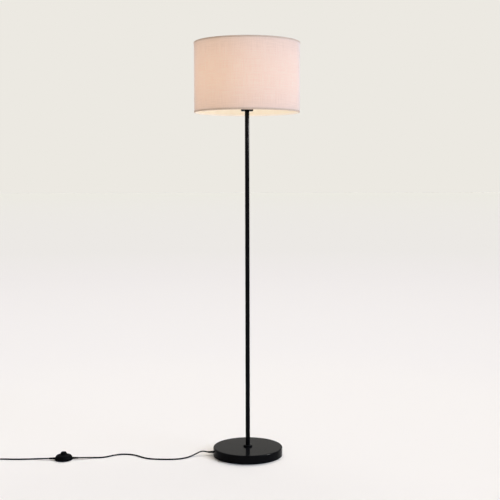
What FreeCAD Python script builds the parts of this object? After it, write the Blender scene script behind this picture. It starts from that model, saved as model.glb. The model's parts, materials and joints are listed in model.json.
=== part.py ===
import FreeCAD, Part
import math
import os

# Column floor lamp: a round weighted base, a thin pole in three tubes, a lampholder with a bulb,
# a drum shade, and a mains cord with a foot switch and a plug.
# Millimetres, +Z up. The origin is the centre of the base on the floor. The cord leaves towards -X.

# overall sizes
overall_height = 1500.0
shade_diameter = 380.0
shade_height = 250.0
base_diameter = 254.0
base_height = 32.0
pole_diameter = 16.0

# clearances
press_gap = 0.05        # pressed or screwed pieces
slip_gap = 0.3          # curved faces that lie side by side
touch_gap = 0.02        # a round bar resting on a flat
over = 1.0              # how far a cutting tool runs past what it cuts

# base
cover_wall = 1.2
cover_edge_radius = 4.0
skirt_lift = 1.0        # the steel skirt stays this far off the floor
pad_thickness = 2.0
pad_inset = 1.0
plate_thickness = 1.5
weight_thickness = 12.0
weight_web = 7.8        # left above the pocket for the nut
weight_pocket_radius = 20.0
weight_chamfer = 3.0
boss_radius = 7.0
boss_circle_radius = 95.0
boss_count = 3
plate_screw_radius = 2.0
plate_screw_length = 13.0
screw_head_radius = 3.6
screw_head_height = 1.5
screw_head_round = 0.6
screw_slot_width = 0.8
screw_slot_depth = 0.8
collar_diameter = 33.0
collar_height = 7.0
collar_round = 5.0      # a domed top
collar_chamfer = 0.4

# pole
pole_wall = 1.0
pole_count = 3
tube_chamfer = 0.2
insert_length = 18.0
thread_radius = 5.0     # the hollow threaded nipples
nipple_bore_radius = 3.9
nipple_grip = 16.0      # reach of a nipple into an insert
nut_flats = 14.0
nut_height = 3.0
washer_radius = 14.0
washer_thickness = 1.5
lock_washer_radius = 8.5
lock_washer_thickness = 1.8
lock_washer_slit = 1.2
nipple_tail = 1.2       # the lowest nipple ends this far under its nut
nipple_top = 14.0       # the highest nipple ends this far above the pole

# cord
cord_diameter = 5.0
floor_gap = 0.1         # under a cord or a plug that lies on the floor
exit_azimuth = 182.3    # degrees, seen from above
exit_height = 12.0
relief_length = 20.0
relief_root_wall = 1.4  # of soft plastic round the cord
relief_neck_wall = 1.0
relief_tip_wall = 0.6
relief_flange_wall = 2.7
relief_flange_thickness = 1.6
relief_root_length = 2.0
stop_radius = 5.0       # clamp that holds the cord inside the base
stop_length = 8.0
stop_distance = 12.0    # from the base's wall
cable_height = 8.5      # where the held cord crosses under the nut
cable_bend = 8.0
cable_level_run = 18.8  # from the cord stop to where it starts to come down
cable_low_from = 35.0   # radius where it is down
cable_above_pole = 13.0
core_radius = 0.9
core_spacing = 2.6
core_length = 6.0

# lampholder and bulb, heights counted from the top of the pole
cup_above_rim = 6.0     # the cup's floor sits this far above the shade's lower edge
cup_height = 36.0
cup_wall = 1.0
cup_round = 1.5
cup_room = 2.0          # between the lampholder and the cup's wall
holder_wall = 2.0
holder_cap_height = 22.0
holder_cap_floor = 3.0
holder_cap_round = 4.0
holder_boss_height = 9.0
holder_boss_wall = 3.0
holder_shell_height = 36.0
holder_shell_wall = 1.5
holder_thread_depth = 0.5
holder_thread_pitch = 3.0
holder_thread_from = 4.0
holder_thread_short = 6.0   # of the shell's height that has no thread
sleeve_room = 2.7       # between the screw sleeve and the shell's bore
insert_block_top = 32.0
insert_block_height = 16.0
insert_block_gap = 0.1
insert_notch_width = 6.0
insert_notch_depth = 10.0   # from the outside of the lampholder
insert_notch_height = 9.0
terminal_x = 10.0
terminal_hole_radius = 1.6
terminal_head_radius = 2.8
terminal_head_height = 2.0
terminal_reach = 5.0
core_hole_depth = 5.0
contact_width = 5.0
contact_sheet = 0.6
contact_rise = 3.1      # the springy middle contact stands this high
screw_pitch = 3.629     # seven turns to the inch
screw_mid_radius = 12.6
screw_thread_depth = 0.5
screw_turns = 5
sheet_wall = 0.4
bulb_radius = 30.0
bulb_length = 110.0
bulb_wall = 1.3
bulb_tip_height = 2.0
bulb_tip_radius = 4.6
bulb_insulator_height = 3.2
bulb_insulator_top = 5.0
bulb_cap_collar = 1.6
globe_height = 48.0     # from the globe's open rim to its top
globe_rim_inset = 3.7   # the rim is this much smaller than the bulb
board_thickness = 1.5
led_count = 10
led_circle = 14.0
led_size = 3.2
led_height = 0.8
driver_width = 14.0
driver_thickness = 1.2
clamp_ring_wall = 8.0
clamp_ring_height = 8.0
clamp_ring_grips = 24
clamp_grip_radius = 1.2

# shade
fabric_thickness = 0.55
liner_thickness = 0.45
hem_thickness = 0.35
hem_height = 6.0
hem_width = 5.4
hem_flats = 6           # creases of the stiff tape round a rim
frame_wire_radius = 1.1
layer_gap = 0.15        # between the shade's glued layers
arm_radius = 1.6
arm_count = 3
arm_first_azimuth = 90.0
arm_level_run = 12.0
arm_bend = 20.0
arm_under_fitter = 4.5  # how far an arm reaches under the fitter ring
arm_straight = 7.0      # and how far it runs level beside it
fabric_edge = 2.75      # from the shade's rim to the cloth's own edge
wire_inset = 0.3        # from the middle of the fold to the wire, both ways
fitter_room = 1.0       # between the lampholder and the ring
fitter_width = 9.0
fitter_thickness = 1.8

# foot switch, in its own frame along the cord
switch_x = -667.0
switch_y = -60.5
switch_azimuth = 4.4
switch_radius = 31.0
switch_wall = 2.0
switch_entry_height = 6.0
switch_pad_thickness = 1.5
switch_pad_outer = 18.5
switch_pad_inner = 12.0
switch_plate_thickness = 3.0
switch_relief_length = 21.5
switch_relief_neck_wall = 1.2
switch_relief_root_wall = 1.6
switch_relief_flange_wall = 2.3
switch_relief_flange_thickness = 2.0
switch_wall_lean = 1.6  # how far the cover's wall leans in over the relief's flange
switch_relief_run = 18.0    # the cord's straight run out of each relief
switch_side_height = 6.0    # of the cover's upright side
switch_shoulder_height = 17.2
switch_shoulder_inset = 5.6
switch_slope_radius = 16.5
switch_slope_height = 19.8
switch_collar_radius = 11.6
switch_collar_top = 25.0
switch_roof = 2.0       # thickness of the cover's sloping top
tail_from = 24.0        # the cord's ends lie between this radius and the reliefs
post_circle = 22.0
post_radius = 3.2
post_top = 15.6
post_bore_depth = 8.0
switch_screw_count = 3
switch_screw_first_azimuth = 90.0
switch_screw_radius = 1.3
switch_screw_reach = 7.0
switch_head_radius = 2.6
switch_head_height = 1.5
switch_head_lift = 0.1
notch_depth = 7.0
notch_width = 12.0
button_radius = 10.0
button_top = 30.0
button_wall = 1.4
button_roof = 4.0
button_travel = 3.5
button_flange_radius = 12.5
button_flange_thickness = 1.7
button_flange_top = 17.2
collar_stop_gap = 0.4   # from the flange up to the cover's underside
stem_radius = 3.0
stem_gap = 0.4
spring_radius = 6.5
spring_wire_radius = 0.5
spring_turns = 4.5
mechanism_top = 9.4
mechanism_length = 22.0
mechanism_width = 18.0
terminal_length = 5.5
terminal_width = 8.0
terminal_height = 5.0
grub_radius = 1.2
strip_width = 4.0
strip_thickness = 0.8

# put-away coil and plug
coil_x = -940.0
coil_entry_y = -59.0
coil_mid_radius = 30.0
coil_turns = 5.25
coil_gap = 0.5          # between neighbouring turns
coil_climb = 0.5        # of a turn, from the lower layer to the upper
coil_end_run = 10.0
coil_entry_run = 23.0
plug_width = 35.3
plug_length = 38.0
plug_face_straight = 9.0
plug_shoulder_length = 9.0
plug_waist_inset = 4.6
plug_tail_width = 15.0
plug_tail_flare = 1.2
plug_edge_round = 2.2
plug_cord_depth = 22.0
plug_relief_length = 28.0
plug_relief_root = 5.0
pin_radius = 2.0
pin_length = 19.0
pin_spacing = 18.6
pin_root = 10.0         # how deep a pin sits in the plug
pin_chamfer = 0.6
pin_sleeve_length = 10.0
pin_neck_radius = 1.4
pin_sleeve_radius = 1.9

# worked out from the sizes above
cord_radius = cord_diameter / 2
cord_height = cord_radius + floor_gap   # centreline of a cord that lies on the floor
cord_bore = cord_radius + press_gap
relief_root_radius = cord_radius + relief_root_wall
relief_neck_radius = cord_radius + relief_neck_wall
relief_tip_radius = cord_radius + relief_tip_wall
relief_flange_radius = cord_radius + relief_flange_wall
switch_relief_neck = cord_radius + switch_relief_neck_wall
switch_relief_root = cord_radius + switch_relief_root_wall
switch_relief_flange = cord_radius + switch_relief_flange_wall
base_radius = base_diameter / 2
pole_radius = pole_diameter / 2
shade_radius = shade_diameter / 2
shade_bottom = overall_height - shade_height
pole_top = shade_bottom + cup_above_rim
tube_length = (pole_top - base_height) / pole_count
cover_underside = base_height - cover_wall
weight_bottom = cover_underside - weight_thickness
plate_top = pad_thickness + plate_thickness
pocket_top = cover_underside - weight_web
nut_top = pocket_top - washer_thickness - lock_washer_thickness
nipple_bottom = nut_top - nut_height - nipple_tail
nipple_hole = thread_radius + slip_gap
sleeve_mid = screw_mid_radius + 2 * screw_thread_depth + slip_gap
holder_bore = sleeve_mid + screw_thread_depth + sheet_wall + sleeve_room
holder_radius = holder_bore + holder_shell_wall
insert_block_radius = holder_radius - holder_wall - insert_block_gap
cup_radius = holder_radius + cup_room + cup_wall
clamp_ring_radius = holder_radius + clamp_ring_wall
fitter_inner_radius = holder_radius + fitter_room
fitter_outer_radius = fitter_inner_radius + fitter_width
coil_pitch = cord_diameter + coil_gap
coil_layer_turns = coil_turns / 2
coil_outer_radius = coil_mid_radius + coil_pitch * coil_layer_turns / 2
coil_y = coil_entry_y - coil_outer_radius

# The free cord's route, chosen point by point: lamp to foot switch, then foot switch to coil.
route_to_switch = [
    (-162.5, -6.5, 12.0),
    (-182.0, -6.0, 12.0),
    (-199.0, -17.0, 6.4),
    (-213.0, -35.5, 2.7),
    (-233.0, -54.0, 2.6),
    (-266.0, -66.5, 2.6),
    (-322.0, -66.0, 2.6),
    (-363.0, -56.5, 2.6),
    (-388.0, -37.0, 2.6),
    (-411.0, -12.0, 2.6),
    (-442.0, 0.5, 2.6),
    (-472.0, -0.5, 2.6),
    (-498.0, -17.0, 2.6),
    (-525.0, -41.0, 2.6),
    (-568.0, -43.0, 2.8),
]
route_to_coil = [
    (-764.0, -56.5, 2.9),
    (-805.0, -60.5, 2.6),
    (-850.0, -61.0, 2.6),
    (-885.0, -58.4, 2.6),
]


def vector(x, y, z):
    return FreeCAD.Vector(x, y, z)


def polar(radius, azimuth, z):
    angle = math.radians(azimuth)
    return vector(radius * math.cos(angle), radius * math.sin(angle), z)


def rod(radius, low, high, x=0.0, y=0.0):
    return Part.makeCylinder(radius, high - low, vector(x, y, low))


def pipe(outer, inner, low, high):
    return rod(outer, low, high).cut(rod(inner, low - over, high + over))


def bar(radius, start, way, length):
    return Part.makeCylinder(radius, length, start, way)


def at_bend(centre_r, centre_z, radius, degrees=45.0):
    """A point of a round edge in (radius, height)."""
    angle = math.radians(degrees)
    return (centre_r + radius * math.cos(angle), centre_z + radius * math.sin(angle))


def block(x0, x1, y0, y1, z0, z1):
    return Part.makeBox(x1 - x0, y1 - y0, z1 - z0, vector(x0, y0, z0))


def outline(start, moves, place):
    """A closed face: each move is a point, or a pair (point on the arc, end of the arc)."""
    edges = []
    here = start
    for move in moves + [start]:
        if isinstance(move[0], tuple):
            through, end = move
            edges.append(Part.Arc(place(*here), place(*through), place(*end)).toShape())
        else:
            end = move
            edges.append(Part.LineSegment(place(*here), place(*end)).toShape())
        here = end
    return Part.Face(Part.Wire(edges))


def turned(start, moves):
    """A solid of revolution about Z from an outline in (radius, height)."""
    face = outline(start, moves, lambda r, z: vector(r, 0, z))
    return face.revolve(vector(0, 0, 0), vector(0, 0, 1), 360)


def around(solid, count, first=0.0):
    """Copies of a solid at equal steps about Z."""
    copies = []
    for i in range(count):
        copy = solid.copy()
        copy.rotate(vector(0, 0, 0), vector(0, 0, 1), first + 360.0 * i / count)
        copies.append(copy)
    return copies


def hexagon_nut(low, high, bore):
    corner = nut_flats / 2 / math.cos(math.radians(30))
    points = [polar(corner, 60 * i, low) for i in range(7)]
    body = Part.Face(Part.makePolygon(points)).extrude(vector(0, 0, high - low))
    return body.cut(rod(bore, low - over, high + over))


def corner_radius(points, i):
    """The arc at a corner is as large as its two runs allow."""
    before = points[i] - points[i - 1]
    after = points[i + 1] - points[i]
    half_turn = before.getAngle(after) / 2
    return 0.45 * min(before.Length, after.Length) / math.tan(half_turn)


def rounded_path(points, bends=None):
    """Straight runs joined by tangent arcs. bends gives the radius of some corners by number."""
    edges = []
    radii = []
    here = points[0]
    for i in range(1, len(points) - 1):
        before = points[i] - points[i - 1]
        after = points[i + 1] - points[i]
        half_turn = before.getAngle(after) / 2
        radius = (bends or {}).get(i, corner_radius(points, i))
        before.normalize()
        after.normalize()
        setback = radius * math.tan(half_turn)
        start = points[i] - before * setback
        end = points[i] + after * setback
        inward = after - before
        inward.normalize()
        middle = points[i] + inward * (radius / math.cos(half_turn) - radius)
        edges.append(Part.LineSegment(here, start).toShape())
        edges.append(Part.Arc(start, middle, end).toShape())
        radii.append(radius)
        here = end
    edges.append(Part.LineSegment(here, points[-1]).toShape())
    return edges, radii


def swept(edges, radius):
    """A round bar along a chain of tangent edges."""
    path = Part.Wire(edges)
    first = path.Edges[0]
    start = first.valueAt(first.FirstParameter)
    heading = first.tangentAt(first.FirstParameter)
    ring = Part.Wire(Part.makeCircle(radius, start, heading))
    solid = path.makePipeShell([ring], True, False)
    return Part.Solid(solid) if solid.ShapeType == "Shell" else solid


def arc_from(start, heading, end):
    """The arc that leaves start along heading and reaches end."""
    chord = end - start
    across = vector(*chord)
    across.normalize()
    side = heading - across * heading.dot(across)
    side.normalize()
    half = heading.getAngle(chord)
    middle = start + chord * 0.5 + side * (chord.Length / 2 * math.tan(half / 2))
    return Part.Arc(start, middle, end).toShape()


def biarc(p0, t0, p1, t1):
    """Two tangent arcs from p0 along t0 to p1 along t1."""
    chord = p1 - p0
    both = t0 + t1
    spread = 2 * (1 - t0.dot(t1))
    ahead = chord.dot(both)
    reach = (-ahead + math.sqrt(ahead * ahead + spread * chord.dot(chord))) / spread
    joint = (p0 + p1 + (t0 - t1) * reach) * 0.5
    back = arc_from(p1, t1 * -1, joint)
    middle = back.valueAt((back.FirstParameter + back.LastParameter) / 2)
    return [arc_from(p0, t0, joint), Part.Arc(joint, middle, p1).toShape()]


def wound_edges(place, turns):
    """Biarcs of a quarter turn each along the line that place(turn) gives."""
    count = round(turns * 4)
    step = 1e-4
    edges = []
    for i in range(count):
        ends = []
        for j in (i, i + 1):
            turn = turns * j / count
            heading = place(turn + step) - place(turn - step)
            heading.normalize()
            ends.append((place(turn), heading))
        edges += biarc(ends[0][0], ends[0][1], ends[1][0], ends[1][1])
    return edges


def least_self_gap(edges, diameter):
    """Smallest surface gap of a tube to itself, on points along its line."""
    points = []
    for edge in edges:
        count = max(2, round(edge.Length / (diameter * 0.2)))
        points += edge.discretize(count + 1)[:-1]
    window = round(math.pi * diameter / (diameter * 0.2))
    least = 1e9
    for i in range(len(points)):
        for j in range(i + window, len(points)):
            gap = (points[i] - points[j]).Length - diameter
            least = min(least, gap)
    return least


def report_cord(name, edges, radii, solid):
    length = sum(edge.Length for edge in edges)
    section = math.pi * cord_radius * cord_radius
    print(name, "length %.1f mm" % length)
    print("   volume / (section x length) %.4f" % (solid.Volume / (section * length)))
    print("   arc radii", " ".join("%.0f" % r for r in radii))


def wave(mid, depth, low, turns):
    """The wavy side of a rolled screw thread, as arcs going up."""
    arcs = []
    for i in range(2 * turns):
        z = low + i * screw_pitch / 2
        side = depth if i % 2 == 0 else -depth
        arcs.append(((mid + side, z + screw_pitch / 4), (mid, z + screw_pitch / 2)))
    return arcs


def wave_down(mid, depth, low, turns):
    """The same side, going down."""
    arcs = []
    for i in reversed(range(2 * turns)):
        z = low + i * screw_pitch / 2
        side = depth if i % 2 == 0 else -depth
        arcs.append(((mid + side, z + screw_pitch / 4), (mid, z)))
    return arcs


def thread_sleeve(mid, depth, low, turns, wall):
    """A thin sleeve rolled to a screw thread."""
    high = low + turns * screw_pitch
    moves = wave(mid + wall, depth, low, turns) + [(mid, high)] + wave_down(mid, depth, low, turns)
    return turned((mid + wall, low), moves)


# --- base ---

def relief_along(start, heading, wall, neck, root, length, flange, set_in):
    """A tapered cord sleeve from the wall's inside: flange (radius, thickness), neck, outer taper."""
    flange_radius, flange_thickness = flange
    seat = -slip_gap - set_in
    tip = relief_tip_radius
    solid = turned(
        (cord_bore, seat - flange_thickness),
        [
            (flange_radius, seat - flange_thickness),
            (flange_radius, seat),
            (neck, seat),
            (neck, wall + slip_gap),
            (root, wall + slip_gap),
            (root, wall + relief_root_length),
            (tip, wall + length - relief_tip_wall),
            (tip - relief_tip_wall / 2, wall + length),
            (cord_bore, wall + length),
        ],
    )
    solid.Placement = FreeCAD.Placement(start, FreeCAD.Rotation(vector(0, 0, 1), heading))
    return solid


def make_cover(inside, exit_inside, exit_way):
    flat = base_radius - cover_edge_radius
    shoulder = base_height - cover_edge_radius
    inner_edge = cover_edge_radius - cover_wall
    cover = turned(
        (nipple_hole, base_height),
        [
            (flat, base_height),
            (at_bend(flat, shoulder, cover_edge_radius), (base_radius, shoulder)),
            (base_radius, skirt_lift),
            (inside, skirt_lift),
            (inside, shoulder),
            (at_bend(flat, shoulder, inner_edge), (flat, cover_underside)),
            (nipple_hole, cover_underside),
        ],
    )
    hole_start = exit_inside - exit_way * cover_wall
    return cover.cut(bar(relief_neck_radius + slip_gap, hole_start, exit_way, 3 * cover_wall))


def make_weight(radius, screw_top):
    """The cast disc, with a pocket for the nut and bosses down to the bottom plate."""
    weight = turned(
        (nipple_hole, cover_underside),
        [
            (radius - weight_chamfer, cover_underside),
            (radius, cover_underside - weight_chamfer),
            (radius, weight_bottom),
            (weight_pocket_radius, weight_bottom),
            (weight_pocket_radius, pocket_top),
            (nipple_hole, pocket_top),
        ],
    )
    boss = rod(boss_radius, plate_top, weight_bottom, boss_circle_radius)
    weight = weight.fuse(around(boss, boss_count)).removeSplitter()
    tapped = rod(plate_screw_radius + press_gap, plate_top - over, screw_top + over, boss_circle_radius)
    return weight.cut(Part.makeCompound(around(tapped, boss_count)))


def make_plate_screw(screw_top):
    head_low = pad_thickness - screw_head_height
    head = rod(screw_head_radius, head_low, pad_thickness, boss_circle_radius)
    head = head.makeFillet(screw_head_round, [head.Edges[2]])
    half = screw_slot_width / 2
    near = boss_circle_radius - half
    far = boss_circle_radius + half
    length = screw_head_radius + over
    slot = block(near, far, -length, length, head_low - over, head_low + screw_slot_depth)
    return head.cut(slot).fuse(rod(plate_screw_radius, pad_thickness, screw_top, boss_circle_radius))


def make_collar():
    radius = collar_diameter / 2
    top = base_height + collar_height
    bore = pole_radius + press_gap
    rounded = radius - collar_round
    return turned(
        (bore, base_height),
        [
            (radius, base_height),
            (radius, top - collar_round),
            (at_bend(rounded, top - collar_round, collar_round), (rounded, top)),
            (bore + collar_chamfer, top),
            (bore, top - collar_chamfer),
        ],
    )


def make_base():
    inside = base_radius - cover_wall
    fitting = inside - slip_gap
    exit_way = polar(1, exit_azimuth, 0)
    exit_inside = polar(inside, exit_azimuth, exit_height)
    screw_top = pad_thickness + plate_screw_length

    plate = rod(fitting, pad_thickness, plate_top)
    hole_radius = plate_screw_radius + slip_gap
    clear_hole = rod(hole_radius, pad_thickness - over, plate_top + over, boss_circle_radius)
    plate = plate.cut(Part.makeCompound(around(clear_hole, boss_count)))
    pad = rod(fitting - pad_inset, 0, pad_thickness)
    pad_hole = rod(screw_head_radius + slip_gap, -over, pad_thickness + over, boss_circle_radius)
    pad = pad.cut(Part.makeCompound(around(pad_hole, boss_count)))

    nut = hexagon_nut(nut_top - nut_height, nut_top, thread_radius + press_gap)
    washer = pipe(washer_radius, nipple_hole, pocket_top - washer_thickness, pocket_top)
    lock = pipe(lock_washer_radius, nipple_hole, nut_top, nut_top + lock_washer_thickness)
    half_slit = lock_washer_slit / 2
    slit = block(0, lock_washer_radius + over, -half_slit, half_slit, nut_top - over, pocket_top)

    wall_hollow = inside - math.sqrt(inside ** 2 - relief_flange_radius ** 2)
    relief = relief_along(
        exit_inside, exit_way, cover_wall, relief_neck_radius, relief_root_radius,
        relief_length, (relief_flange_radius, relief_flange_thickness), wall_hollow,
    )
    stop_at = polar(inside - stop_distance, exit_azimuth, exit_height)
    stop = bar(stop_radius, stop_at, exit_way, stop_length)
    stop = stop.cut(bar(cord_bore, stop_at - exit_way * over, exit_way, stop_length + 2 * over))
    return {
        "base_cover": make_cover(inside, exit_inside, exit_way),
        "base_weight": make_weight(fitting, screw_top),
        "bottom_plate": plate,
        "base_pad": pad,
        "bottom_plate_screws": Part.makeCompound(around(make_plate_screw(screw_top), boss_count)),
        "base_nut": nut,
        "base_washers": Part.makeCompound([washer, lock.cut(slit)]),
        "pole_collar": make_collar(),
        "base_strain_relief": relief,
        "cord_stop": stop,
    }


# --- pole ---

def make_pole():
    nodes = {}
    inserts = []
    nipples = []
    bore = pole_radius - pole_wall
    names = ["pole_lower", "pole_middle", "pole_upper"]
    for i, name in enumerate(names):
        low = base_height + i * tube_length
        high = low + tube_length
        nodes[name] = turned(
            (bore, low),
            [
                (pole_radius - tube_chamfer, low),
                (pole_radius, low + tube_chamfer),
                (pole_radius, high - tube_chamfer),
                (pole_radius - tube_chamfer, high),
                (bore, high),
            ],
        )
        for start in (low, high - insert_length):
            end = start + insert_length
            inserts.append(pipe(bore - press_gap, thread_radius + press_gap, start, end))
    joint_heights = [base_height + i * tube_length for i in range(pole_count + 1)]
    for i, height in enumerate(joint_heights):
        low = nipple_bottom if i == 0 else height - nipple_grip
        high = height + (nipple_top if i == pole_count else nipple_grip)
        nipples.append(pipe(thread_radius, nipple_bore_radius, low, high))
    nodes["pole_inserts"] = Part.makeCompound(inserts)
    nodes["pole_nipples"] = Part.makeCompound(nipples)
    return nodes


def make_inner_cable():
    """The held part of the cord: through the strain relief, across the base and up the pole."""
    top = pole_top + cable_above_pole
    points = [
        polar(base_radius + relief_length, exit_azimuth, exit_height),
        polar(base_radius - cover_wall - stop_distance - cable_level_run, exit_azimuth, exit_height),
        polar(cable_low_from, exit_azimuth, cable_height),
        vector(0, 0, cable_height),
        vector(0, 0, top),
    ]
    edges, radii = rounded_path(points, {3: cable_bend})
    sheath = swept(edges, cord_radius)
    cores = [rod(core_radius, top, top + core_length, side * core_spacing / 2) for side in (-1, 1)]
    report_cord("inner cable", edges, radii, sheath)
    return Part.makeCompound([sheath] + cores)


# --- lampholder ---

def make_cup():
    low = pole_top
    inner = cup_radius - cup_wall
    rounded = cup_radius - cup_round
    return turned(
        (nipple_hole, low),
        [
            (rounded, low),
            (at_bend(rounded, low + cup_round, cup_round, -45.0), (cup_radius, low + cup_round)),
            (cup_radius, low + cup_height),
            (inner, low + cup_height),
            (inner, low + cup_wall),
            (nipple_hole, low + cup_wall),
        ],
    )


def make_holder_cap(low, high):
    bore = thread_radius + press_gap
    inner = holder_radius - holder_wall
    boss = thread_radius + holder_boss_wall
    rounded = holder_radius - holder_cap_round
    side_low = low + holder_cap_round
    return turned(
        (bore, low),
        [
            (rounded, low),
            (at_bend(rounded, side_low, holder_cap_round, -45.0), (holder_radius, side_low)),
            (holder_radius, high),
            (inner, high),
            (inner, low + holder_cap_floor),
            (boss, low + holder_cap_floor),
            (boss, low + holder_boss_height),
            (bore, low + holder_boss_height),
        ],
    )


def make_holder_shell(low):
    """The outer shell, with ridges that the clamp ring screws onto."""
    high = low + holder_shell_height
    crest = holder_radius + holder_thread_depth
    moves = []
    for i in range(int((holder_shell_height - holder_thread_short) / holder_thread_pitch)):
        z = low + holder_thread_from + i * holder_thread_pitch
        moves.append((holder_radius, z))
        moves.append((crest, z + holder_thread_pitch * 0.3))
        moves.append((crest, z + holder_thread_pitch * 0.5))
        moves.append((holder_radius, z + holder_thread_pitch * 0.8))
    bevel = holder_thread_depth
    moves += [(holder_radius, high - bevel), (holder_radius - bevel, high)]
    moves += [(holder_bore, high), (holder_bore, low)]
    return turned((holder_radius, low), moves)


def make_insert(low, high):
    """The ceramic block, with holes for two screws and two cores, and its two screws."""
    insert = rod(insert_block_radius, low, high)
    screws = []
    core_hole = core_radius + press_gap
    half_slot = screw_slot_width / 2
    for side in (-1, 1):
        x = side * terminal_x
        insert = insert.cut(rod(terminal_hole_radius, low - over, low + terminal_reach + over, x))
        insert = insert.cut(rod(core_hole, low - over, low + core_hole_depth, side * core_spacing / 2))
        head_low = low - terminal_head_height
        head = rod(terminal_head_radius, head_low, low, x)
        reach = terminal_head_radius + over
        slot_top = head_low + screw_slot_depth
        slot = block(x - reach, x + reach, -half_slot, half_slot, head_low - over, slot_top)
        shank = rod(terminal_hole_radius - press_gap, low, low + terminal_reach, x)
        screws.append(head.cut(slot).fuse(shank))
    half_notch = insert_notch_width / 2
    notch_start = holder_radius - insert_notch_depth
    notch_top = low + insert_notch_height
    recess = block(-half_notch, half_notch, notch_start, holder_radius + over, low - over, notch_top)
    return insert.cut(recess), screws


def make_contacts(low):
    """A springy tongue under the bulb's tip, and a strip that leads to the screw sleeve."""
    half = contact_width / 2
    high = low + contact_rise
    sheet = contact_sheet
    tongue = outline(
        (-9.0, low),
        [
            (-5.0, low), (-3.0, high), (5.0, high), (5.0, high + sheet),
            (-3.4, high + sheet), (-5.4, low + sheet), (-9.0, low + sheet),
        ],
        lambda x, z: vector(x, -half, z),
    ).extrude(vector(0, contact_width, 0))
    strip_end = sleeve_mid + screw_thread_depth + sheet_wall / 2
    return [tongue, block(strip_end - contact_width, strip_end, -half, half, low, low + sheet)]


def make_clamp_ring(low):
    high = low + clamp_ring_height
    ring = pipe(clamp_ring_radius, holder_radius + holder_thread_depth + 0.2, low, high)
    grip = rod(clamp_grip_radius, low - over, high + over, clamp_ring_radius + clamp_grip_radius / 2)
    return ring.cut(Part.makeCompound(around(grip, clamp_ring_grips)))


def make_lampholder():
    nut_low = pole_top + cup_wall
    cap_low = nut_low + nut_height
    cap_high = cap_low + holder_cap_height
    block_high = pole_top + insert_block_top
    insert, screws = make_insert(block_high - insert_block_height, block_high)
    sleeve_low = block_high + contact_sheet
    sleeve = thread_sleeve(sleeve_mid, screw_thread_depth, sleeve_low, screw_turns + 2, sheet_wall)
    return {
        "socket_cup": make_cup(),
        "cup_nut": hexagon_nut(nut_low, nut_low + nut_height, thread_radius + press_gap),
        "lampholder_cap": make_holder_cap(cap_low, cap_high),
        "lampholder_shell": make_holder_shell(cap_high),
        "lampholder_insert": insert,
        "lampholder_sleeve": sleeve,
        "lampholder_contacts": Part.makeCompound(make_contacts(block_high)),
        "terminal_screws": Part.makeCompound(screws),
        "shade_clamp_ring": make_clamp_ring(pole_top + cup_height + fitter_thickness),
    }


# --- bulb ---

def make_screw_cap(low, high, housing_low):
    inner = screw_mid_radius - sheet_wall
    wavy = thread_sleeve(inner, screw_thread_depth, low, screw_turns, sheet_wall)
    collar = pipe(screw_mid_radius + 0.6, inner, high, housing_low)
    floor = pipe(screw_mid_radius, bulb_insulator_top, low, low + sheet_wall)
    return wavy.fuse([collar, floor]).removeSplitter()


def make_housing(low, high):
    """The funnel from the screw cap up to the globe's rim."""
    rim = bulb_radius - globe_rim_inset
    middle = rim - 4.7
    half_way = (low + high) / 2 + 3.0
    skirt = low + 3.0
    return turned(
        (screw_mid_radius - 0.6, low),
        [
            (screw_mid_radius + 1.4, low),
            (screw_mid_radius + 2.4, skirt),
            ((middle, half_way), (rim, high)),
            (rim - bulb_wall, high),
            ((middle - bulb_wall, half_way + 1.0), (screw_mid_radius + 0.6, skirt)),
            (screw_mid_radius - 0.6, skirt),
        ],
    )


def make_globe(low, top):
    rim = bulb_radius - globe_rim_inset
    centre = top - bulb_radius
    inner = bulb_radius - bulb_wall
    side_z = (low + centre) / 2
    swell = 0.75
    return turned(
        (rim, low),
        [
            ((bulb_radius - swell, side_z), (bulb_radius, centre)),
            (at_bend(0, centre, bulb_radius), (0, top)),
            (0, top - bulb_wall),
            (at_bend(0, centre, inner), (inner, centre)),
            ((inner - swell, side_z), (rim - bulb_wall, low)),
        ],
    )


def make_bulb():
    tip_low = pole_top + cup_height
    insulator_low = tip_low + bulb_tip_height
    cap_low = insulator_low + bulb_insulator_height
    cap_high = cap_low + screw_turns * screw_pitch
    housing_low = cap_high + bulb_cap_collar
    top = tip_low + bulb_length
    globe_low = top - globe_height
    tip = turned(
        (0, tip_low),
        [((3.4, tip_low + 0.6), (bulb_tip_radius, insulator_low)), (0, insulator_low)],
    )
    insulator = turned(
        (0, insulator_low),
        [
            (bulb_insulator_top, insulator_low),
            ((8.0, insulator_low + 1.2), (screw_mid_radius - 1.4, cap_low)),
            (0, cap_low),
        ],
    )
    board_high = globe_low - 0.5
    board_low = board_high - board_thickness
    board_radius = bulb_radius - globe_rim_inset - bulb_wall - 3 * slip_gap
    half = led_size / 2
    chip = block(led_circle, led_circle + led_size, -half, half, board_high, board_high + led_height)
    half_width = driver_width / 2
    half_thickness = driver_thickness / 2
    driver = block(-half_width, half_width, -half_thickness, half_thickness, cap_low + 2.0, board_low)
    can = rod(4.0, cap_high + 4.0, cap_high + 14.0, 0.0, 5.0)
    return {
        "bulb_tip": tip,
        "bulb_insulator": insulator,
        "bulb_screw_cap": make_screw_cap(cap_low, cap_high, housing_low),
        "bulb_housing": make_housing(housing_low, globe_low),
        "bulb_globe": make_globe(globe_low, top),
        "led_board": rod(board_radius, board_low, board_high),
        "led_chips": Part.makeCompound(around(chip, led_count)),
        "driver_board": driver.fuse(can).removeSplitter(),
    }


# --- shade ---

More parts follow.
